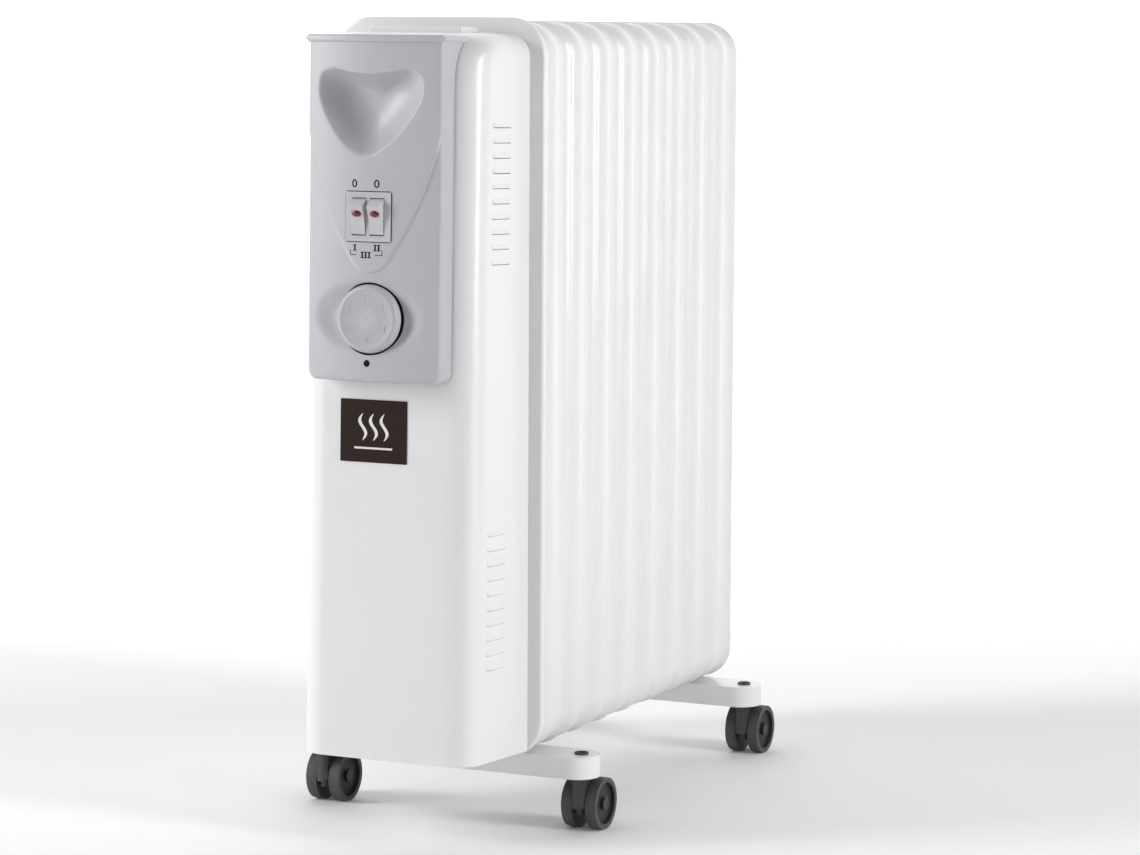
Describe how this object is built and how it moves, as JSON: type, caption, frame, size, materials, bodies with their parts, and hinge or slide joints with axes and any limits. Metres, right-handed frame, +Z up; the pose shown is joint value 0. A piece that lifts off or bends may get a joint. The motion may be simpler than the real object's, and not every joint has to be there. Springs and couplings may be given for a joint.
{
  "type": "oil filled radiator heater",
  "caption": "Upright oil filled radiator: a row of white steel fins behind a control box with a dial, lit rocker switches and a grip recess, on foot bars with swivel castors.",
  "frame": {"origin": "on the floor, under the middle of the overall box", "axes": "+Z up, the control face looks along -Y, +X to the right of a person facing the controls"},
  "size_m": [0.253, 0.5064, 0.62],
  "materials": {
    "white_enamel": "glossy white powder coat",
    "box_enamel": "satin white powder coat",
    "grey_plastic": "fine-textured moulded grey",
    "dark_plastic": "moulded dark grey",
    "bright_steel": "zinc plated",
    "shield_aluminium": "mill finish",
    "lens_red": "translucent red",
    "label_brown": "printed film",
    "rubber": "black",
    "gasket_rubber": "red silicone",
    "block_plastic": "ivory",
    "wire_sleeve": "glass sleeve over copper"
  },
  "bodies": {
    "heater": {"fin_1": "white_enamel", "fin_2": "white_enamel", "fin_3": "white_enamel", "fin_4": "white_enamel", "fin_5": "white_enamel", "fin_6": "white_enamel", "fin_7": "white_enamel", "fin_8": "white_enamel", "fin_9": "white_enamel", "shield_spacers": "bright_steel", "top_header_collars": "white_enamel", "bottom_header_collars": "white_enamel", "header_caps": "white_enamel", "oil_filler_plug": "bright_steel", "heating_element": "bright_steel", "element_gasket": "gasket_rubber", "control_box_shell": "box_enamel", "box_bottom_plate": "box_enamel", "box_top_cover": "box_enamel", "heat_shield": "shield_aluminium", "box_nuts": "bright_steel", "control_housing": "grey_plastic", "housing_screws": "bright_steel", "name_badge": "label_brown", "switch_body": "grey_plastic", "rocker_pin": "bright_steel", "thermostat_body": "dark_plastic", "thermal_cutout": "dark_plastic", "cutout_clip": "bright_steel", "terminal_block": "block_plastic", "wiring": "wire_sleeve", "cable_grommet": "rubber", "foot_bar_front": "box_enamel", "foot_bar_rear": "box_enamel", "foot_u_bolts": "bright_steel", "foot_wing_nuts": "bright_steel", "castor_bushes": "dark_plastic"},
    "knob": {"thermostat_knob": "grey_plastic", "thermostat_shaft": "bright_steel"},
    "switch_left": {"rocker_left": "grey_plastic", "lens_left": "lens_red"},
    "switch_right": {"rocker_right": "grey_plastic", "lens_right": "lens_red"},
    "fork_front_left": {"castor_fork_front_left": "dark_plastic"},
    "wheels_front_left": {"castor_wheels_front_left": "dark_plastic"},
    "fork_front_right": {"castor_fork_front_right": "dark_plastic"},
    "wheels_front_right": {"castor_wheels_front_right": "dark_plastic"},
    "fork_rear_left": {"castor_fork_rear_left": "dark_plastic"},
    "wheels_rear_left": {"castor_wheels_rear_left": "dark_plastic"},
    "fork_rear_right": {"castor_fork_rear_right": "dark_plastic"},
    "wheels_rear_right": {"castor_wheels_rear_right": "dark_plastic"}
  },
  "joints": [
    {"name": "thermostat_turn", "type": "hinge", "parent": "heater", "child": "knob", "pos_m": [0, -0.24382, 0.39897], "axis": [0, -0.9997, 0.0227], "range_deg": [-270, 0]},
    {"name": "rocker_left_tip", "type": "hinge", "parent": "heater", "child": "switch_left", "pos_m": [-0.00825, -0.24112, 0.47383], "axis": [-1, 0, 0], "range_deg": [0, 32]},
    {"name": "rocker_right_tip", "type": "hinge", "parent": "heater", "child": "switch_right", "pos_m": [0.00665, -0.24112, 0.47383], "axis": [-1, 0, 0], "range_deg": [0, 32]},
    {"name": "castor_front_left_swivel", "type": "hinge", "parent": "heater", "child": "fork_front_left", "pos_m": [-0.112, -0.11254, 0.05], "axis": [0, 0, 1], "continuous": true},
    {"name": "castor_front_left_roll", "type": "hinge", "parent": "fork_front_left", "child": "wheels_front_left", "pos_m": [-0.112, -0.09854, 0.02], "axis": [1, 0, 0], "continuous": true},
    {"name": "castor_front_right_swivel", "type": "hinge", "parent": "heater", "child": "fork_front_right", "pos_m": [0.112, -0.11254, 0.05], "axis": [0, 0, 1], "continuous": true},
    {"name": "castor_front_right_roll", "type": "hinge", "parent": "fork_front_right", "child": "wheels_front_right", "pos_m": [0.112, -0.09854, 0.02], "axis": [1, 0, 0], "continuous": true},
    {"name": "castor_rear_left_swivel", "type": "hinge", "parent": "heater", "child": "fork_rear_left", "pos_m": [-0.112, 0.21296, 0.05], "axis": [0, 0, 1], "continuous": true},
    {"name": "castor_rear_left_roll", "type": "hinge", "parent": "fork_rear_left", "child": "wheels_rear_left", "pos_m": [-0.112, 0.22696, 0.02], "axis": [1, 0, 0], "continuous": true},
    {"name": "castor_rear_right_swivel", "type": "hinge", "parent": "heater", "child": "fork_rear_right", "pos_m": [0.112, 0.21296, 0.05], "axis": [0, 0, 1], "continuous": true},
    {"name": "castor_rear_right_roll", "type": "hinge", "parent": "fork_rear_right", "child": "wheels_rear_right", "pos_m": [0.112, 0.22696, 0.02], "axis": [1, 0, 0], "continuous": true}
  ]
}
